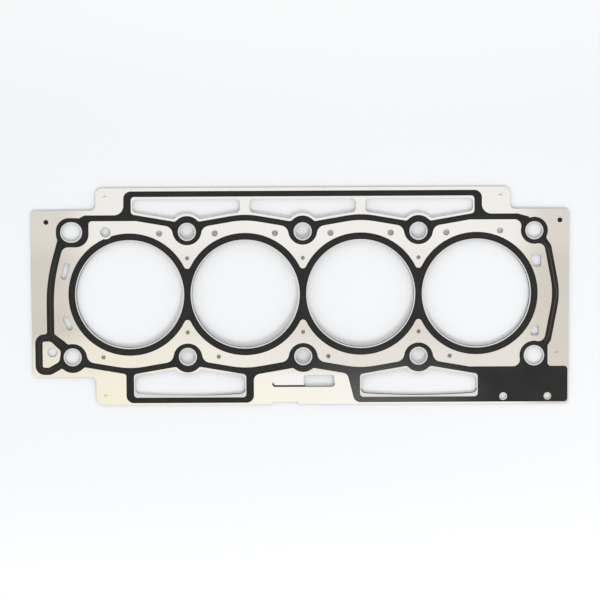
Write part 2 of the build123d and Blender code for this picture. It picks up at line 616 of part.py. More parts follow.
# ---- levels of the stack, from the underside up ---------------------------------------------
upper_sheet_z = LOWER_SHEET_THICKNESS
print_z = upper_sheet_z + UPPER_SHEET_THICKNESS

# ---- sheets ---------------------------------------------------------------------------------
with BuildPart() as lower_sheet:
    with BuildSketch():
        add(sheet)
        add(middle_slot(LOWER_SHEET_COVERS_TO), mode=Mode.SUBTRACT)
        with Locations(*[(x, 0) for x in bore_xs]):
            Circle(bore_radius - LOWER_BORE_LEDGE, mode=Mode.SUBTRACT)
    extrude(amount=LOWER_SHEET_THICKNESS)

with BuildPart() as upper_sheet:
    with BuildSketch(Plane.XY.offset(upper_sheet_z)):
        add(sheet)
        add(middle_slot(MID_SLOT_ENDS[0]), mode=Mode.SUBTRACT)
        with Locations(*[(x, 0) for x in bore_xs]):
            Circle(bore_radius, mode=Mode.SUBTRACT)
    extrude(amount=UPPER_SHEET_THICKNESS)
    with Locations(*[(x, y, print_z) for x, y in welds]):
        standing = (Align.CENTER, Align.CENTER, Align.MIN)
        Cone(WELD_DIAMETER / 2, WELD_TOP_DIAMETER / 2, WELD_HEIGHT, align=standing)

# ---- elastomer print ------------------------------------------------------------------------
with BuildPart() as upper_perimeter_print:
    with BuildSketch(Plane.XY.offset(print_z)):
        add(perimeter_print)
    extrude(amount=PRINT_THICKNESS)

with BuildPart() as upper_bore_print:
    with BuildSketch(Plane.XY.offset(print_z)):
        add(bore_print)
    extrude(amount=PRINT_THICKNESS)

dot_pieces = {}
for name, place in dots.items():
    with BuildPart() as dot:
        with BuildSketch(Plane.XY.offset(print_z)):
            with Locations(place):
                Circle(DOT_DIAMETER / 2)
        extrude(amount=PRINT_THICKNESS)
    dot_pieces[name] = dot

# ---- export ---------------------------------------------------------------------------------
pieces = {
    "upper_sheet": upper_sheet,
    "lower_sheet": lower_sheet,
    "upper_bore_print": upper_bore_print,
    "upper_perimeter_print": upper_perimeter_print,
    **dot_pieces,
}
os.makedirs("parts", exist_ok=True)
for name, piece in pieces.items():
    piece.part.label = name
    export_step(piece.part, f"parts/{name}.step")
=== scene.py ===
"""Finishes, bead relief, stage, lamps and camera for the cylinder head gasket.

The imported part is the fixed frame: +X runs along the cylinder row, +Y across it towards the long
top window frame, +Z out of the printed face. Lengths are in metres, as in the frame, except in
the finishes, which are laid out in millimetres.
"""

import json
import logging
import math
from dataclasses import dataclass
from enum import Enum
from functools import reduce

import bpy
import numpy as np
from mathutils import Matrix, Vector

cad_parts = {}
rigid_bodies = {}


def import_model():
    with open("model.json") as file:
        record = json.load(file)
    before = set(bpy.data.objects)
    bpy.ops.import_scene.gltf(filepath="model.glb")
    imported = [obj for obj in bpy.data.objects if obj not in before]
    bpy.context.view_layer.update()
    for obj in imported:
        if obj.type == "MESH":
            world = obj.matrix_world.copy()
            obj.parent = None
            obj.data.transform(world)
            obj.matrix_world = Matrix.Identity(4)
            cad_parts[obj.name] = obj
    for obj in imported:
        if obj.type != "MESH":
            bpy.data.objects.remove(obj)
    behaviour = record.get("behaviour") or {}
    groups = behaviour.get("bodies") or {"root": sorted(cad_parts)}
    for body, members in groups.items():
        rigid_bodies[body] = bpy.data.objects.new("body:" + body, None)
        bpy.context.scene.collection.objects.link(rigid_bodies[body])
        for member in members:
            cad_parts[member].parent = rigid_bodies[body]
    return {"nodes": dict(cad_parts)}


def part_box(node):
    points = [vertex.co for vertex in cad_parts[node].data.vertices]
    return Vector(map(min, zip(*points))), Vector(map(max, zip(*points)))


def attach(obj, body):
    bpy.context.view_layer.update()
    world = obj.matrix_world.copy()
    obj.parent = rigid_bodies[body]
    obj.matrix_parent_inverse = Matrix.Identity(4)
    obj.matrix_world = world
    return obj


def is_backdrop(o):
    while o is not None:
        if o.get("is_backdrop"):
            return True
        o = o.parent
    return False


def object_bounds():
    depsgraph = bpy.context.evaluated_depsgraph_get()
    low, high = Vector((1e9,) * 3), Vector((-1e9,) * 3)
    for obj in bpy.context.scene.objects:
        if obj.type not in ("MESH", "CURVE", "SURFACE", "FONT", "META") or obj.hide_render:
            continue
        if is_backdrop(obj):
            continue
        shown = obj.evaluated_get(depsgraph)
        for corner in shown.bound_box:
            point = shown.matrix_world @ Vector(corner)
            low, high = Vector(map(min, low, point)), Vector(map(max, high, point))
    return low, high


LOG = logging.getLogger("head_gasket")
MM = 0.001
BODY = "root"
NOISE_MEAN = 0.5
NOISE_ROUGHNESS = 0.55


# ---- names -------------------------------------------------------------------------------------
class Slot(Enum):
    """Material slot of the part's print."""

    PRINT = "seal_print"


class Node(Enum):
    """The part's own nodes."""

    UPPER_SHEET = "upper_sheet"
    LOWER_SHEET = "lower_sheet"
    BORE_PRINT = "upper_bore_print"
    PERIMETER_PRINT = "upper_perimeter_print"
    LEFT_DOT = "left_registration_dot"
    RIGHT_DOT = "right_registration_dot"


# ---- layout ------------------------------------------------------------------------------------
@dataclass(frozen=True)
class Engine:
    """Layout of the bores and head bolts that the gasket is made for."""

    cylinders: int = 4
    pitch: float = 85.0 * MM
    bore_radius: float = 39.2 * MM
    bolt_row: float = 46.0 * MM

    def bores(self) -> np.ndarray:
        """Places of the bores along the row, from the left."""
        return (np.arange(self.cylinders) - (self.cylinders - 1) / 2) * self.pitch

    def bolts(self) -> np.ndarray:
        """Places of the head bolts along either row, from the left."""
        return (np.arange(self.cylinders + 1) - self.cylinders / 2) * self.pitch


@dataclass(frozen=True)
class BottomWindow:
    """Window of the sheets near the bottom edge, in millimetres. Its lower side bows outwards."""

    left: float
    right: float
    dark_corners: tuple  # ends of the lower side whose corner carries the painted shadow line: -1 left, +1 right
    lowest: float = -74.5
    bow: float = 1.6
    corner: float = 3.2

    def middle(self) -> float:
        """Place of the window's middle along the row."""
        return (self.left + self.right) / 2

    def radius(self) -> float:
        """Radius of the lower side: (h * h + b * b) / (2 * b) for a half length h and a bow b."""
        half = (self.right - self.left) / 2
        return (half * half + self.bow * self.bow) / (2 * self.bow)

    def centre(self) -> float:
        """Place across the row of the centre of the lower side's arc."""
        return self.lowest + self.radius()

    def corner_centre(self, side: int) -> tuple[float, float]:
        """Centre of the round corner that touches one end and the lower side's arc from inside.

        Args:
            side: -1 for the left end, +1 for the right end.

        Returns:
            Its x and y.
        """
        x = (self.right if side > 0 else self.left) - side * self.corner
        drop = math.sqrt((self.radius() - self.corner) ** 2 - (x - self.middle()) ** 2)
        return x, self.centre() - drop


# ---- shader maths ------------------------------------------------------------------------------
class Wire:
    """A number or vector travelling through a shader graph, with arithmetic on it."""

    def __init__(self, graph: "Graph", socket: bpy.types.NodeSocket) -> None:
        """Wraps an output socket of a graph."""
        self.graph = graph
        self.socket = socket

    def maths(self, operation: str, *values: object) -> "Wire":
        """Applies a maths node of this wire's own kind.

        Args:
            operation: The node's operation.
            values: Wires, numbers or vectors for its inputs, in order.

        Returns:
            The node's output.
        """
        vector = self.socket.type in ("VECTOR", "RGBA")
        kind = "ShaderNodeVectorMath" if vector else "ShaderNodeMath"
        return self.graph.node(kind, {"operation": operation}, dict(enumerate(values)))

    def __add__(self, other: object) -> "Wire":
        """Sum of the wire and another value."""
        return self.maths("ADD", self, other)

    def __radd__(self, other: object) -> "Wire":
        """Sum of another value and the wire."""
        return self.maths("ADD", other, self)

    def __sub__(self, other: object) -> "Wire":
        """The wire less another value."""
        return self.maths("SUBTRACT", self, other)

    def __rsub__(self, other: object) -> "Wire":
        """Another value less the wire."""
        return self.maths("SUBTRACT", other, self)

    def __mul__(self, other: object) -> "Wire":
        """Product of the wire and another value."""
        return self.maths("MULTIPLY", self, other)

    def __rmul__(self, other: object) -> "Wire":
        """Product of another value and the wire."""
        return self.maths("MULTIPLY", other, self)

    def __abs__(self) -> "Wire":
        """Magnitude of the wire."""
        return self.maths("ABSOLUTE", self)

    def least(self, other: object) -> "Wire":
        """Smaller of the wire and another value."""
        return self.maths("MINIMUM", self, other)

    def most(self, other: object) -> "Wire":
        """Larger of the wire and another value."""
        return self.maths("MAXIMUM", self, other)

    def distance(self, other: "Wire") -> "Wire":
        """Distance between the origin and the point with this wire and another as coordinates."""
        square = self * self + other * other
        return square.maths("SQRT", square)

    def ramp(self, low: float, high: float, start: float = 0.0, end: float = 1.0) -> "Wire":
        """Smooth step from one value to another.

        Args:
            low: Input at which the step starts.
            high: Input at which it ends.
            start: Output before the step.
            end: Output after it.

        Returns:
            The stepped value.
        """
        settings = {"interpolation_type": "SMOOTHSTEP"}
        inputs = {"Value": self, "From Min": low, "From Max": high, "To Min": start, "To Max": end}
        return self.graph.node("ShaderNodeMapRange", settings, inputs, "Result")

    def fall(self, low: float, high: float) -> "Wire":
        """Smooth step down from 1 to 0 between two inputs."""
        return self.ramp(low, high, 1.0, 0.0)

    def between(self, low: float, high: float, soft: float = 0.1) -> "Wire":
        """1 between two limits and 0 beyond them, with soft edges inside the limits."""
        return self.ramp(low, low + soft) * self.fall(high - soft, high)

    def parts(self) -> tuple["Wire", "Wire", "Wire"]:
        """Splits a vector into x, y and z."""
        split = self.graph.raw("ShaderNodeSeparateXYZ", {}, {"Vector": self})
        return tuple(Wire(self.graph, split.outputs[axis]) for axis in "XYZ")


class Graph:
    """A node tree under construction."""

    def __init__(self, tree: bpy.types.NodeTree) -> None:
        """Clears the tree of a material or world for building."""
        self.tree = tree
        self.tree.nodes.clear()

    def feed(self, socket: bpy.types.NodeSocket, value: object) -> None:
        """Links a wire to an input, or sets the input to a constant.

        Args:
            socket: The input.
            value: Wire, number, vector or colour.
        """
        if isinstance(value, Wire):
            self.tree.links.new(value.socket, socket)
        else:
            socket.default_value = value

    def raw(self, kind: str, settings: dict, inputs: dict) -> bpy.types.Node:
        """Creates a node.

        Args:
            kind: The node's type.
            settings: Properties to set on it.
            inputs: Wires or constants by input name or number.

        Returns:
            The node.
        """
        made = self.tree.nodes.new(kind)
        for name, value in settings.items():
            setattr(made, name, value)
        for key, value in inputs.items():
            self.feed(made.inputs[key], value)
        return made

    def node(self, kind: str, settings: dict, inputs: dict, output: object = 0) -> Wire:
        """Creates a node as raw does, and gives the output of a name or number."""
        return Wire(self, self.raw(kind, settings, inputs).outputs[output])

    def place(self) -> Wire:
        """The shading point in the object's own coordinates, in millimetres."""
        spot = self.node("ShaderNodeTexCoord", {}, {}, "Object")
        return self.node("ShaderNodeVectorMath", {"operation": "SCALE"}, {0: spot, "Scale": 1 / MM})

    def noise(self, place: Wire, stretch: tuple[float, float, float], detail: float = 3.0) -> Wire:
        """Smooth noise from 0 to 1.

        Args:
            place: Position in millimetres.
            stretch: Cycles per millimetre along x, y and z.
            detail: Octaves.

        Returns:
            The noise value.
        """
        inputs = {"Vector": place * stretch, "Scale": 1.0}
        inputs.update({"Detail": detail, "Roughness": NOISE_ROUGHNESS})
        return self.node("ShaderNodeTexNoise", {"noise_dimensions": "3D"}, inputs, "Fac")

    def blend(self, factor: object, first: object, second: object) -> Wire:
        """Mixes two colours.

        Args:
            factor: 0 for the first, 1 for the second.
            first: Colour or wire.
            second: Colour or wire.

        Returns:
            The mixed colour.
        """
        made = self.raw("ShaderNodeMix", {"data_type": "RGBA"}, {})
        sockets = {socket.identifier: socket for socket in made.inputs}
        for name, value in (("Factor_Float", factor), ("A_Color", first), ("B_Color", second)):
            self.feed(sockets[name], value)
        return Wire(self, next(s for s in made.outputs if s.identifier == "Result_Color"))

    def bump(self, height: Wire, strength: float, distance: float) -> Wire:
        """Normal disturbed by a height, which is in units of the distance, by a share of 0 to 1."""
        inputs = {"Strength": strength, "Distance": distance, "Height": height}
        return self.node("ShaderNodeBump", {}, inputs, "Normal")


# ---- finishes ----------------------------------------------------------------------------------
@dataclass(frozen=True)
class SteelShadeAndClouding:
    """Where the steel's colour is painted darker.

    Painted reflection and shade darken both ends, the steel near the row and a belt below it,
    and random clouding varies the tone.

    A zone is a smooth step over a place in millimetres: where it starts and ends, and the share
    before and after it.
    """

    left_end: tuple = (-181.0, -150.0, 0.62, 0.0)
    left_end_upwards: tuple = (-44.0, -24.0, 0.1, 1.0)
    right_end: tuple = (150.0, 181.0, 0.0, 1.0)
    right_end_upwards: tuple = (-60.0, 60.0, 0.95, 0.66)
    bridges: tuple = (24.0, 42.0, 0.22, 0.0)  # over the distance from the cylinder row
    belt_top: tuple = (-25.0, -5.0, 1.0, 0.0)
    belt_foot: tuple = (-62.0, -55.0, 0.0, 1.0)
    belt_along: tuple = (-60.0, 40.0, 0.14, 0.5)
    belt_end: tuple = (150.0, 172.0, 1.0, 0.0)
    clouding: float = 0.18

    def share(self, x: Wire, y: Wire, clouds: Wire) -> Wire:
        """Share of the darker tone: painted reflection and shade at both ends, near the row and in a
        belt below it, and random clouds.

        Args:
            x: Position along the row in millimetres.
            y: Position across it in millimetres.
            clouds: Broad noise.

        Returns:
            0 where the steel is bright, 1 where it is darkest.
        """
        # painted darkening: reflection falloff at the ends, shade near the row and in the belt
        left = x.ramp(*self.left_end) * y.ramp(*self.left_end_upwards)
        right = x.ramp(*self.right_end) * y.ramp(*self.right_end_upwards)
        belt = y.ramp(*self.belt_top) * y.ramp(*self.belt_foot)
        belt = belt * x.ramp(*self.belt_along) * x.ramp(*self.belt_end)
        off_tone = left + right + clouds * self.clouding + abs(y).ramp(*self.bridges) + belt
        return off_tone.least(1.0)


@dataclass(frozen=True)
class EdgeShadowsAndLips:
    """Painted shadow along the edges of the sheets, and bare lips there, in millimetres."""

    engine: Engine
    lower_sheet: tuple = (0.55, 0.65)  # heights that part the lower sheet's face from the upper's
    ledge: tuple = (39.25, 39.45)  # distances from a bore's axis where the painted shadow there ends
    ledge_lean: float = 0.9  # turns the painted shadow on a ledge towards the nearer end
    ledge_dark: tuple = (-20.0, 14.0)
    slot_corners: tuple = (-20.6, 20.8)  # centres of the middle slot's lower corners
    slot_foot: float = -66.2
    seam_inside: tuple = (0.95, 1.25)  # distances from the line between those centres
    seam_outside: tuple = (2.35, 2.55)
    seam_top: tuple = (-0.3, 1.2)
    closed_x: tuple = (-23.1, 0.3)
    closed_y: tuple = (-68.8, -59.0)
    lip_soft: float = 0.3
    lip_bore: float = 40.4
    lip_bolt: float = 7.2
    lip_window: float = 2.6
    lip_top: float = -58.0
    windows: tuple = (
        BottomWindow(left=-123.9, right=-43.2, dark_corners=(1,)),
        BottomWindow(left=42.9, right=127.5, dark_corners=(-1, 1)),
    )
    line: tuple = (-0.1, 0.5)  # distances beyond a window's edge between which the painted shadow lies
    line_fade: tuple = (-88.0, -50.0, 0.1, 1.0)
    corner_soft: float = 0.1

    def painted_edge_shadow(self, x: Wire, y: Wire, z: Wire) -> Wire:
        """Share of painted shadow on the lower sheet, along its edge where it shows.

        It lies on the ledge inside each bore, on the side of the bottom edge and of the nearer
        end, and in the seam at the foot of the middle slot.

        Args:
            x: Position along the row in millimetres.
            y: Position across it in millimetres.
            z: Height in millimetres.

        Returns:
            1 where painted shadow darkens the steel, 0 where it is bare.
        """
        ledges = []
        for bore in self.engine.bores() / MM:
            across = x - bore
            # painted shadow on each bore's ledge, dark towards the bottom edge and the nearer end
            side = (across * math.copysign(self.ledge_lean, bore) - y).ramp(*self.ledge_dark)
            ledges.append(across.distance(y).fall(*self.ledge) * side)
        left, right = self.slot_corners
        past = (left - x).most(x - right).most(0.0)
        reach = past.distance((self.slot_foot - y).most(0.0))
        seam = reach.ramp(*self.seam_inside) * reach.fall(*self.seam_outside)
        seam = seam * (y - self.slot_foot).fall(*self.seam_top)
        return (reduce(Wire.most, ledges) * z.fall(*self.lower_sheet)).most(seam)

    def lips(self, x: Wire, y: Wire) -> Wire:
        """Share of the narrow bare lips between the print and the larger openings.

        Args:
            x: Position along the row in millimetres.
            y: Position across it in millimetres.

        Returns:
            1 on a lip, 0 beyond.
        """
        soft, wide = self.lip_soft, self.lip_window
        across = abs(y) - self.engine.bolt_row / MM
        rims = []
        for bore in self.engine.bores() / MM:
            rims.append((x - bore).distance(y).fall(self.lip_bore, self.lip_bore + soft))
        for bolt in self.engine.bolts() / MM:
            rims.append((x - bolt).distance(across).fall(self.lip_bolt, self.lip_bolt + soft))
        for window in self.windows:
            inside = x.between(window.left - wide, window.right + wide, soft)
            rims.append(inside * y.between(window.lowest - wide, self.lip_top, soft))
        return reduce(Wire.most, rims)

    def lines(self, x: Wire, y: Wire) -> Wire:
        """Share of the painted shadow line along the lower side of the bottom windows.

        Args:
            x: Position along the row in millimetres.
            y: Position across it in millimetres.

        Returns:
            1 on the line, 0 beyond.
        """
        lines = []
        for window in self.windows:
            level = x.between(window.left + window.corner, window.right - window.corner)
            reach = (x - window.middle()).distance(y - window.centre()) - window.radius()
            lines.append(reach.between(*self.line) * level)
            for side in window.dark_corners:
                corner_x, corner_y = window.corner_centre(side)
                along = ((x - corner_x) * side).most(0.0)
                below = (corner_y - y).most(0.0)
                reach = along.distance(below) - window.corner
                quarter = along.ramp(0.0, self.corner_soft) * below.ramp(0.0, self.corner_soft)
                lines.append(reach.between(*self.line) * quarter)
        return reduce(Wire.most, lines) * x.ramp(*self.line_fade)

    def closure(self, x: Wire, y: Wire, z: Wire) -> Wire:
        """1 where the lower sheet closes the middle slot, 0 beyond."""
        return x.between(*self.closed_x) * y.between(*self.closed_y) * z.fall(*self.lower_sheet)


@dataclass(frozen=True)
class StainlessFinish:
    """Satin cold-rolled stainless sheet: faint rolling grain, tinted spot welds, painted reflection and
    shade.
    """

    tone_shift: SteelShadeAndClouding
    marks: EdgeShadowsAndLips
    bright: tuple = (0.868, 0.845, 0.808, 1.0)
    darker_tone: tuple = (0.640, 0.590, 0.520, 1.0)
    # painted warm reflection colour, strongest towards the bottom left
    painted_warm_sheen: tuple = (0.905, 0.848, 0.680, 1.0)
    warm_sheen_lean: float = -0.5
    warm_sheen_fade: tuple = (0.0, 170.0)
    scorched: tuple = (0.42, 0.36, 0.29, 1.0)
    scorching: float = 0.45
    welds: tuple = ((-145.0, 72.0), (-145.8, -74.6), (145.0, 72.0), (186.8, -44.0))
    weld_fade: tuple = (0.66, 1.65)
    lip: tuple = (0.66, 0.645, 0.62, 1.0)
    lip_strength: float = 0.85
    closed: tuple = (0.845, 0.835, 0.825, 1.0)
    # painted shadow colour for the window lines, the ledges and the seam
    painted_edge_shadow: tuple = (0.050, 0.045, 0.040, 1.0)
    # painted shade colour for the upright edges
    painted_wall_shade: tuple = (0.10, 0.095, 0.09, 1.0)
    wall_shade_fade: tuple = (0.3, 0.7)  # from an upright edge to a level face
    metallic: float = 0.92
    roughness: float = 0.36
    clouds: tuple = (0.012, 0.02, 0.02)  # cycles per millimetre, as for the next three
    grain: tuple = (0.35, 14.0, 14.0)
    smear: tuple = (0.05, 0.09, 0.09)
    speckle: tuple = (6.0, 6.0, 6.0)
    grain_roughness: float = 0.08
    smear_roughness: float = 0.1
    grain_height: float = 0.7
    speckle_height: float = 0.3
    bump: float = 0.25
    bump_height: float = 0.004 * MM

    def weld_distance(self, x: Wire, y: Wire) -> Wire:
        """Distance to the nearest spot weld, in millimetres."""
        return reduce(Wire.least, [(x - at_x).distance(y - at_y) for at_x, at_y in self.welds])

    def build(self, name: str) -> bpy.types.Material:
        """Makes the material.

        Args:
            name: The material's name.

        Returns:
            The material.
        """
        material, graph = new_material(name)
        place = graph.place()
        x, y, z = place.parts()
        # painted warm reflection, stronger towards the bottom left
        warm_sheen = (x * self.warm_sheen_lean - y).ramp(*self.warm_sheen_fade)
        tone = graph.blend(warm_sheen, self.bright, self.painted_warm_sheen)
        clouds = graph.noise(place, self.clouds, detail=2.0)
        # painted reflection falloff and shade, with random clouding, towards the darker tone
        tone = graph.blend(self.tone_shift.share(x, y, clouds), tone, self.darker_tone)
        weld = self.weld_distance(x, y).fall(*self.weld_fade)
        tone = graph.blend(weld * self.scorching, tone, self.scorched)
        tone = graph.blend(self.marks.lips(x, y) * self.lip_strength, tone, self.lip)
        tone = graph.blend(self.marks.closure(x, y, z), tone, self.closed)
        # painted shadow lines along the bottom windows, then on the lower sheet's ledges and seam
        tone = graph.blend(self.marks.lines(x, y), tone, self.painted_edge_shadow)
        tone = graph.blend(self.marks.painted_edge_shadow(x, y, z), tone, self.painted_edge_shadow)
        # painted shade on upright edges, darkest where a face stands upright
        _, _, level = graph.node("ShaderNodeNewGeometry", {}, {}, "Normal").parts()
        tone = graph.blend(abs(level).fall(*self.wall_shade_fade), tone, self.painted_wall_shade)
        grain = graph.noise(place, self.grain, detail=4.0)
        smear = graph.noise(place, self.smear)
        speckle = graph.noise(place, self.speckle, detail=2.0)
        rough = (grain - NOISE_MEAN) * self.grain_roughness
        rough = rough + (smear - NOISE_MEAN) * self.smear_roughness
        height = grain * self.grain_height + speckle * self.speckle_height
        close_material(graph, {
            "Base Color": tone,
            "Metallic": self.metallic,
            "Roughness": rough + self.roughness,
            "Normal": graph.bump(height, self.bump, self.bump_height),
        })
        return material


@dataclass(frozen=True)
class ElastomerFinish:
    """Satin black screen-printed rubber with a fine open texture and a painted sheen in one place."""

    base: tuple = (0.0080, 0.0075, 0.0070, 1.0)
    off_tone: tuple = (0.018, 0.0170, 0.0160, 1.0)
    worn_fade: tuple = (0.35, 0.75)
    tone_shift: float = 0.6
    painted_sheen: tuple = (0.088, 0.085, 0.083, 1.0)
    sheen_at: tuple = (56.0, -76.0)
    sheen_half: float = 12.0  # half the length over which the painted sheen is full
    sheen_fade: float = 82.0
    sheen_squash: float = 2.0  # the painted sheen ends that much sooner across the row
    # painted highlight colour for the bead crests
    painted_crest_highlight: tuple = (0.062, 0.056, 0.045, 1.0)
    crest_highlight_heights: tuple = (0.912, 0.962)
    crest_highlight_ends: tuple = (174.0, 183.0, 0.1, 1.0)
    crest_highlight_right: tuple = (-1.0, 1.0, 0.45, 1.0)
    roughness: float = 0.46
    clouds: tuple = (0.05, 0.05, 0.05)  # cycles per millimetre, as for the next one
    pores: tuple = (3.2, 3.2, 3.2)
    cloud_roughness: float = 0.16
    pore_roughness: float = 0.08
    reflection: float = 0.27
    bump: float = 0.4
    bump_height: float = 0.012 * MM

    def sheen_share(self, x: Wire, y: Wire) -> Wire:
        """Share of the painted sheen, a lamp's reflection painted on the print round one place.

        Args:
            x: Position along the row in millimetres.
            y: Position across it in millimetres.

        Returns:
            1 at the middle of the painted sheen, falling to 0 where it ends.
        """
        at_x, at_y = self.sheen_at
        along = (abs(x - at_x) - self.sheen_half).most(0.0)
        return along.distance((y - at_y) * self.sheen_squash).fall(0.0, self.sheen_fade)

    def crest(self, x: Wire, z: Wire) -> Wire:
        """1 where a bead's crest carries a painted highlight, mostly on the end traces, 0 beyond."""
        ends = abs(x).ramp(*self.crest_highlight_ends) * x.ramp(*self.crest_highlight_right)
        return z.ramp(*self.crest_highlight_heights) * ends

    def build(self, name: str) -> bpy.types.Material:
        """Makes the material.

        Args:
            name: The material's name.

        Returns:
            The material.
        """
        material, graph = new_material(name)
        place = graph.place()
        x, y, z = place.parts()
        clouds = graph.noise(place, self.clouds)
        pores = graph.noise(place, self.pores)
        tone = graph.blend(clouds.ramp(*self.worn_fade) * self.tone_shift, self.base, self.off_tone)
        # painted sheen: a lamp's reflection painted lighter on the print round one place
        tone = graph.blend(self.sheen_share(x, y), tone, self.painted_sheen)
        # painted highlight along bead crests, mostly on the end traces and stronger on the right
        tone = graph.blend(self.crest(x, z), tone, self.painted_crest_highlight)
        rough = (clouds - NOISE_MEAN) * self.cloud_roughness
        rough = rough + (pores - NOISE_MEAN) * self.pore_roughness
        close_material(graph, {
            "Base Color": tone,
            "Roughness": rough + self.roughness,
            "Specular IOR Level": self.reflection,
            "Normal": graph.bump(pores, self.bump, self.bump_height),
        })
        return material


@dataclass(frozen=True)
class PaperFinish:
    """Matt white backdrop paper with painted light, a little whiter away from the row."""

    base: tuple = (0.922, 0.932, 0.945, 1.0)
    # paper colour with painted light, used away from the row
    bare: tuple = (0.985, 0.985, 0.985, 1.0)
    bare_fade: tuple = (110.0, 250.0)
    roughness: float = 0.9
    reflection: float = 0.1

    def build(self, name: str) -> bpy.types.Material:
        """Makes the material.

        Args:
            name: The material's name.

        Returns:
            The material.
        """
        material, graph = new_material(name)
        _, y, _ = graph.place().parts()
        close_material(graph, {
            # painted light: the paper whiter away from the row
            "Base Color": graph.blend(abs(y).ramp(*self.bare_fade), self.base, self.bare),
            "Roughness": self.roughness,
            "Specular IOR Level": self.reflection,
        })
        return material


def new_material(name: str) -> tuple[bpy.types.Material, Graph]:
    """Starts an empty material.

    Args:
        name: The material's name.

    Returns:
        The material and its graph.
    """
    material = bpy.data.materials.new(name)
    material.use_nodes = True
    return material, Graph(material.node_tree)


def close_material(graph: Graph, inputs: dict) -> None:
    """Ends a material's graph with one principled surface, fed with the inputs."""
    surface = graph.node("ShaderNodeBsdfPrincipled", {}, inputs, "BSDF")
    graph.raw("ShaderNodeOutputMaterial", {}, {"Surface": surface})


# ---- surfaces ----------------------------------------------------------------------------------
def grid_mesh(name: str, points: np.ndarray, closed: bool) -> bpy.types.Object:
    """Makes a surface from a grid of points.

    Args:
        name: The object's name.
        points: Array (rows, columns, 3); neighbouring points are joined by quads.
        closed: Whether the last row joins the first.

    Returns:
        The object.
    """
    rows, columns, _ = points.shape
    index = np.arange(rows * columns).reshape(rows, columns)
    after = np.roll(index, -1, axis=0) if closed else index[1:]
    before = index if closed else index[:-1]
    corners = (before[:, :-1], after[:, :-1], after[:, 1:], before[:, 1:])
    quads = np.stack(corners, axis=-1).reshape(-1, 4)
    mesh = bpy.data.meshes.new(name)
    mesh.vertices.add(rows * columns)
    mesh.vertices.foreach_set("co", points.astype(np.float32).ravel())
    mesh.loops.add(quads.size)
    mesh.loops.foreach_set("vertex_index", quads.astype(np.int32).ravel())
    mesh.polygons.add(len(quads))
    mesh.polygons.foreach_set("loop_start", np.arange(0, quads.size, 4, dtype=np.int32))
    mesh.polygons.foreach_set("use_smooth", np.ones(len(quads), dtype=bool))
    mesh.update(calc_edges=True)
    made = bpy.data.objects.new(name, mesh)
    bpy.context.scene.collection.objects.link(made)
    return made


@dataclass(frozen=True)
class Bead:
    """Rounded ridge in the print over a pressed bead of the sheet."""

    width: float
    height: float
    steps: int = 9
    run_out: int = 8  # samples over which an open ridge sinks to nothing at either end

    def along(self, name: str, path: np.ndarray, level: float, closed: bool = True) -> bpy.types.Object:
        """Sweeps the ridge along a path.

        The height at a share s of the half width from the middle is
        z = level + height * cos(pi s / 2) ** 2. An open ridge runs out to nothing at both ends.

        Args:
            name: The object's name.
            path: Array (n, 2) of points on the centreline, in order.
            level: Height of the ridge's foot.
            closed: Whether the path returns to its start.

        Returns:
            The ridge.
        """
        if closed:
            ahead = np.roll(path, -1, axis=0) - np.roll(path, 1, axis=0)
            fade = np.ones(len(path))
        else:
            ahead = np.gradient(path, axis=0)
            order = np.arange(len(path))
            fade = np.clip(np.minimum(order, order[::-1]) / self.run_out, 0.0, 1.0)
        ahead /= np.linalg.norm(ahead, axis=1, keepdims=True)
        side = np.stack((-ahead[:, 1], ahead[:, 0]), axis=1)
        share = np.linspace(1.0, -1.0, self.steps)
        plan = path[:, None, :] + side[:, None, :] * (share * self.width / 2)[None, :, None]
        rise = level + self.height * fade[:, None] * np.cos(math.pi * share / 2) ** 2
        return grid_mesh(name, np.concatenate((plan, rise[..., None]), axis=2), closed=closed)


@dataclass(frozen=True)
class Ring:
    """Arc of a bead's middle line round a hole."""

    radius: float
    start: float  # degrees, from +X towards the outside of the gasket
    end: float
    points: int = 19

    def round(self, x: float, y: float) -> np.ndarray:
        """Puts the arc round a point.

        At an angle t it passes through (x + radius * cos t, y + radius * sin t), and below the
        cylinder row through y - radius * sin t instead.

        Args:
            x: Place of its centre along the row.
            y: Place of its centre across it.

        Returns:
            Array (points, 2).
        """
        turn = np.radians(np.linspace(self.start, self.end, self.points))
        out = abs(y) + self.radius * np.sin(turn)
        return np.stack((x + self.radius * np.cos(turn), math.copysign(1.0, y) * out), axis=1)


def smoothed(corners: np.ndarray, closed: bool = True) -> np.ndarray:
    """Turns the corners of an outline into an even, rounded path.

    The outline is sampled at even steps along its length, and each sample is then averaged with
    its neighbours over the rounding radius, with weights that fall off as a raised cosine.

    Args:
        corners: Array (n, 2).
        closed: Whether the outline returns to its start.

    Returns:
        Array (m, 2).
    """
    spacing, radius = 0.5 * MM, 2.5 * MM
    ends = np.vstack((corners, corners[:1])) if closed else corners
    steps = np.linalg.norm(np.diff(ends, axis=0), axis=1)
    along = np.concatenate(([0.0], np.cumsum(steps)))
    places = np.linspace(0.0, along[-1], int(along[-1] / spacing), endpoint=not closed)
    path = np.stack([np.interp(places, along, ends[:, axis]) for axis in (0, 1)], axis=1)
    reach = int(radius / spacing)
    window = np.hanning(2 * reach + 3)[1:-1]
    window /= window.sum()
    before = path[-reach:] if closed else path[[0] * reach]
    after = path[:reach] if closed else path[[-1] * reach]
    padded = np.vstack((before, path, after))
    return np.stack([np.convolve(padded[:, axis], window, "valid") for axis in (0, 1)], axis=1)


# ---- sub-assemblies ----------------------------------------------------------------------------
@dataclass
class SheetPack:
    """The two stainless sheets."""

    nodes: dict
    finish: StainlessFinish

    def dress(self) -> None:
        """Gives both sheets their finish."""
        material = self.finish.build("satin_stainless")
        for node in (Node.UPPER_SHEET, Node.LOWER_SHEET):
            paint(self.nodes[node.value], material)
            LOG.info("sheet %s dressed", node.value)


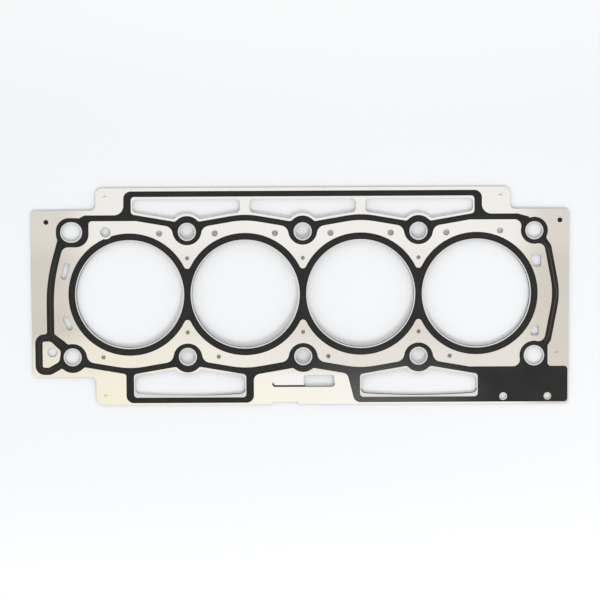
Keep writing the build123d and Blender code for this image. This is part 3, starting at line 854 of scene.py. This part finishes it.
@dataclass
class SealPrint:
    """The elastomer print with the relief of the beads below it."""

    nodes: dict
    engine: Engine
    finish: ElastomerFinish
    bore_bead: Bead = Bead(width=2.4 * MM, height=0.07 * MM)
    perimeter_bead: Bead = Bead(width=1.7 * MM, height=0.07 * MM)
    sink: float = 0.003 * MM  # foot of a ridge below the print's face
    bore_bead_offset: float = 3.4 * MM  # bore wall to bead middle
    bore_points: int = 240
    bolt_ring: Ring = Ring(8.7 * MM, 160.0, 380.0)
    dowel_ring: Ring = Ring(9.7 * MM, 225.0, 380.0)  # round the slotted dowel hole, top left
    last_top_ring: Ring = Ring(8.3 * MM, 150.0, 310.0)
    last_low_ring: Ring = Ring(8.7 * MM, 315.0, 180.0)
    first_low_ring: Ring = Ring(8.7 * MM, 380.0, 232.0)
    ring_shift: float = 0.9 * MM  # centre of a bolt's ring beyond the bolt row
    strip_at_bolt: float = 3.8 * MM  # strip middle beyond the bolt row
    strip_at_bore: float = 11.1 * MM
    strip_at_end: float = 10.25 * MM
    strip_start: float = 14.0 * MM  # from a bolt, and from the bolt row for the end traces
    level_from: float = 37.55 * MM  # the end strips are level this far beyond the inner bolts
    level_to: float = 13.6 * MM  # and up to this far from the end bolts
    left_trace: tuple = (-186.0 * MM, 10.0 * MM, 0.28)  # x below the bend, y of the bend, lean
    left_trace_foot: float = -26.22 * MM
    right_trace: tuple = (186.6 * MM, 0.19)  # x where its two legs meet, lean to both ends
    last_turn: tuple = (-7.83 * MM, -7.6875 * MM)  # x and y from the last lower bolt
    shoulder: tuple = ((-8.2 * MM, 8.6 * MM), (-14.2 * MM, 15.6 * MM))  # from the first lower one
    lobe: tuple = (-24.3 * MM, -9.7 * MM, 14.9 * MM)  # left, low and high side, from that bolt
    lobe_bend: float = 3.4 * MM
    lobe_foot: float = -18.52 * MM  # where its low side starts to rise
    lobe_start: tuple = (-15.0 * MM, 15.9 * MM)
    lobe_end: tuple = ((-8.0 * MM, -5.6 * MM), (-5.0 * MM, -6.6 * MM))

    def dress(self) -> None:
        """Gives the print its finish and adds the bead relief."""
        material = self.finish.build("printed_elastomer")
        for node in (Node.BORE_PRINT, Node.PERIMETER_PRINT, Node.LEFT_DOT, Node.RIGHT_DOT):
            paint(self.nodes[node.value], material)
            LOG.info("print %s dressed", node.value)
        _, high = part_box(Node.BORE_PRINT.value)
        top = high[2] - self.sink
        for number, x in enumerate(self.engine.bores(), 1):
            crest = self.bore_bead.along(f"bore_bead_{number}", self.bore_path(x), top)
            self.settle(crest, material)
        crest = self.perimeter_bead.along("perimeter_bead", self.perimeter_path(), top)
        self.settle(crest, material)
        crest = self.perimeter_bead.along("left_lobe_bead", self.lobe_path(), top, closed=False)
        self.settle(crest, material)

    def settle(self, crest: bpy.types.Object, material: bpy.types.Material) -> None:
        """Finishes a ridge and fixes it to the part.

        Args:
            crest: The ridge.
            material: The print's material.
        """
        paint(crest, material)
        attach(crest, BODY)
        LOG.info("ridge %s with %d faces", crest.name, len(crest.data.polygons))

    def bore_path(self, x: float) -> np.ndarray:
        """Circle over the middle of the bead round one bore: (x + r * cos t, r * sin t).

        Args:
            x: Place of the bore.

        Returns:
            Array (n, 2).
        """
        turn = np.linspace(0.0, math.tau, self.bore_points, endpoint=False)
        radius = self.engine.bore_radius + self.bore_bead_offset
        return np.stack((x + radius * np.cos(turn), radius * np.sin(turn)), axis=1)

    def past_bolt(self, x: float, side: int) -> np.ndarray:
        """Bead path past a bolt, down one strip, round the bore side of the hole and up the next.

        Args:
            x: Place of the bolt.
            side: +1 for the top row, -1 for the bottom row.

        Returns:
            Array (n, 2), from left to right.
        """
        slope = (self.strip_at_bore - self.strip_at_bolt) / (self.engine.pitch / 2)
        reach = self.strip_start
        y = side * (self.engine.bolt_row + self.strip_at_bolt + slope * reach)
        ring = self.bolt_ring.round(x, side * (self.engine.bolt_row + self.ring_shift))
        return np.vstack(([[x - reach, y]], ring, [[x + reach, y]]))

    def row(self, side: int, bolts: np.ndarray) -> np.ndarray:
        """Bead path along one bolt row, from left to right.

        Args:
            side: +1 for the top row, -1 for the bottom row.
            bolts: Places of the bolts that the path dips round.

        Returns:
            Array (n, 2).
        """
        high = side * (self.engine.bolt_row + self.strip_at_bore)
        pieces = [self.past_bolt(bolts[0], side)]
        for bolt in bolts[1:]:
            pieces.append(np.array([[bolt - self.engine.pitch / 2, high]]))
            pieces.append(self.past_bolt(bolt, side))
        return np.vstack(pieces)

    def end_strip(self, inner: float, end: float, side: int) -> np.ndarray:
        """Level bead path between an inner bolt and an end bolt.

        Args:
            inner: Place of the inner bolt.
            end: Place of the end bolt.
            side: +1 for the top row, -1 for the bottom row.

        Returns:
            Array (2, 2), from the inner bolt to the end bolt.
        """
        level = side * (self.engine.bolt_row + self.strip_at_end)
        out = math.copysign(1.0, end - inner)
        return np.array([[inner + out * self.level_from, level], [end - out * self.level_to, level]])

    def perimeter_path(self) -> np.ndarray:
        """Closed bead path through both bolt rows and both end traces.

        It runs up the left end, along the top row, down the right end and back along the bottom
        row. There the first bolt has a ring of its own, so the row's last ring and strip end,
        seen in that direction, are left off.

        Returns:
            Array (n, 2).
        """
        bolts = self.engine.bolts()
        first, last, row = bolts[0], bolts[-1], self.engine.bolt_row
        reach = row - self.strip_start
        x, bend, lean = self.left_trace
        middle, slope = self.right_trace
        low_row = self.row(-1, bolts[:-1])[self.bolt_ring.points + 1:]
        corners = np.vstack((
            [[x, self.left_trace_foot], [x, bend], [x + lean * (reach - bend), reach]],
            self.dowel_ring.round(first, row),
            self.end_strip(bolts[1], first, 1)[::-1],
            self.row(1, bolts[1:-1]),
            self.end_strip(bolts[-2], last, 1),
            self.last_top_ring.round(last, row),
            [[middle - slope * abs(y), y] for y in (reach, 0.0, -reach)],
            self.last_low_ring.round(last, -row),
            [[last + self.last_turn[0], self.last_turn[1] - row]],
            self.end_strip(bolts[-2], last, -1)[::-1],
            low_row[::-1],
            self.first_low_ring.round(first, -row - self.ring_shift),
            [[first + across, up - row] for across, up in self.shoulder],
        ))
        return smoothed(corners)

    def lobe_path(self) -> np.ndarray:
        """Open bead path round the outer side of the lobe at the first lower bolt.

        Returns:
            Array (n, 2), from the foot of the left trace to the bolt's ring.
        """
        left, low, high = self.lobe
        bend = self.lobe_bend
        corners = np.array([
            self.lobe_start,
            (left + bend, high),
            (left, high - bend),
            (left, low + bend),
            (left + bend, low),
            (self.lobe_foot, low),
            *self.lobe_end,
        ])
        return smoothed(corners + (self.engine.bolts()[0], -self.engine.bolt_row), closed=False)


def paint(thing: bpy.types.Object, material: bpy.types.Material) -> None:
    """Makes a material the only one of an object."""
    thing.data.materials.clear()
    thing.data.materials.append(material)


# ---- stage, lamps and camera -------------------------------------------------------------------
@dataclass
class Stage:
    """White paper that the gasket lies on.

    A loose gasket springs up a little in the middle and touches only near its rim. The sheets are
    flat here, so the paper falls away below their middle by that much instead.
    """

    size: float = 6.0
    rim_gap: float = 0.4 * MM
    middle_gap: float = 4.8 * MM
    half_length: float = 205 * MM
    half_width: float = 80 * MM
    steps: int = 41

    def gap(self, x: np.ndarray, y: np.ndarray) -> np.ndarray:
        """Gap between the paper and the gasket's underside.

        Inside the half length a and half width b it is
        rim + (middle - rim) * (1 - (x / a) ** 2) * (1 - (y / b) ** 2), and rim beyond them.

        Args:
            x: Places along the row.
            y: Places across it.

        Returns:
            Array of gaps, shaped as x and y are.
        """
        along = np.clip(1.0 - (x / self.half_length) ** 2, 0.0, 1.0)
        across = np.clip(1.0 - (y / self.half_width) ** 2, 0.0, 1.0)
        return self.rim_gap + (self.middle_gap - self.rim_gap) * along * across

    def build(self) -> None:
        """Makes the floor."""
        half = self.size / 2
        reach_x = np.linspace(-self.half_length, self.half_length, self.steps)
        reach_y = np.linspace(-self.half_width, self.half_width, self.steps)
        x, y = np.meshgrid(np.hstack((-half, reach_x, half)), np.hstack((-half, reach_y, half)))
        points = np.stack((x, y, -self.gap(x, y)), axis=2)
        floor = grid_mesh("paper_floor", points[::-1], closed=False)
        paint(floor, PaperFinish().build("backdrop_paper"))
        floor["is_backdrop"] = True
        LOG.info("floor laid")


@dataclass
class Studio:
    """A soft lamp and a bright room round the gasket."""

    tint: tuple = (0.985, 0.992, 1.0, 1.0)
    room: float = 0.81
    zenith: float = 1.15
    zenith_cone: tuple = (0.90, 0.995)  # height of a direction, 0 level and 1 straight up
    key_power: float = 7.5
    key_size: float = 0.5
    key_at: tuple = (0.34, -1.15, 1.3)

    def build(self) -> None:
        """Makes the world and the lamp."""
        world = bpy.data.worlds.new("pale_room")
        bpy.context.scene.world = world
        world.use_nodes = True
        graph = Graph(world.node_tree)
        _, _, up = graph.node("ShaderNodeTexCoord", {}, {}, "Generated").parts()
        light = up.ramp(*self.zenith_cone, self.room, self.zenith)
        inputs = {"Color": self.tint, "Strength": light}
        sky = graph.node("ShaderNodeBackground", {}, inputs, "Background")
        graph.raw("ShaderNodeOutputWorld", {}, {"Surface": sky})
        lamp = bpy.data.lights.new("key_softbox", "AREA")
        lamp.energy = self.key_power
        lamp.shape = "SQUARE"
        lamp.size = self.key_size
        holder = bpy.data.objects.new("key_softbox", lamp)
        bpy.context.scene.collection.objects.link(holder)
        holder.matrix_world = aimed(np.array(self.key_at), np.zeros(3), np.array((0.0, 1.0, 0.0)))
        LOG.info("lamps set")


def aimed(eye: np.ndarray, target: np.ndarray, up: np.ndarray) -> Matrix:
    """Placement of a camera or lamp that looks at a point.

    Args:
        eye: Its place.
        target: The point it looks at.
        up: Direction that is up in its view.

    Returns:
        The world matrix.
    """
    back = (eye - target) / np.linalg.norm(eye - target)
    right = np.cross(up, back)
    right /= np.linalg.norm(right)
    placed = np.eye(4)
    placed[:3] = np.stack((right, np.cross(back, right), back, eye), axis=1)
    return Matrix(placed.tolist())


@dataclass
class Viewpoint:
    """Camera nearly straight above, a little towards the top edge. Its angles are in degrees."""

    target: tuple = (-2.2 * MM, -4.45 * MM, 0.9 * MM)
    distance: float = 1150 * MM
    tilt: float = 3.15
    pan: float = 0.12
    roll: float = -0.27
    lens: float = 93.8
    sensor: float = 36.0
    clip: tuple = (0.05, 20.0)

    def build(self) -> None:
        """Makes the scene's camera."""
        camera = bpy.data.cameras.new("overhead")
        camera.lens = self.lens
        camera.sensor_width = self.sensor
        camera.clip_start, camera.clip_end = self.clip
        holder = bpy.data.objects.new("overhead", camera)
        bpy.context.scene.collection.objects.link(holder)
        lean, side, turn = np.radians((self.tilt, self.pan, self.roll))
        back = np.array((np.sin(side) * np.cos(lean), np.sin(lean), np.cos(side) * np.cos(lean)))
        target = np.array(self.target)
        level = np.array((0.0, np.cos(lean), -np.sin(lean)))
        up = np.cos(turn) * level - np.sin(turn) * np.array((1.0, 0.0, 0.0))
        holder.matrix_world = aimed(target + self.distance * back, target, up)
        bpy.context.scene.camera = holder
        LOG.info("camera placed")


@dataclass
class GasketScene:
    """The dressed gasket on its stage."""

    engine: Engine
    sizes: dict

    def measure(self, name: str) -> None:
        """Notes the bounds of the shown object under a label."""
        low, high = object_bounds()
        self.sizes[name] = [list(low), list(high)]

    def build(self) -> None:
        """Dresses the part and sets the scene round it."""
        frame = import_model()
        bpy.context.scene.view_settings.view_transform = "Standard"
        self.measure("frame")
        steel = StainlessFinish(SteelShadeAndClouding(), EdgeShadowsAndLips(self.engine))
        SheetPack(frame["nodes"], steel).dress()
        SealPrint(frame["nodes"], self.engine, ElastomerFinish()).dress()
        Stage().build()
        Studio().build()
        Viewpoint().build()
        self.measure("dressed")


def main() -> None:
    """Builds the scene."""
    logging.basicConfig(level=logging.INFO, format="%(name)s: %(message)s")
    for thing in list(bpy.data.objects):
        bpy.data.objects.remove(thing)
    GasketScene(Engine(), {}).build()


if __name__ == "__main__":
    main()
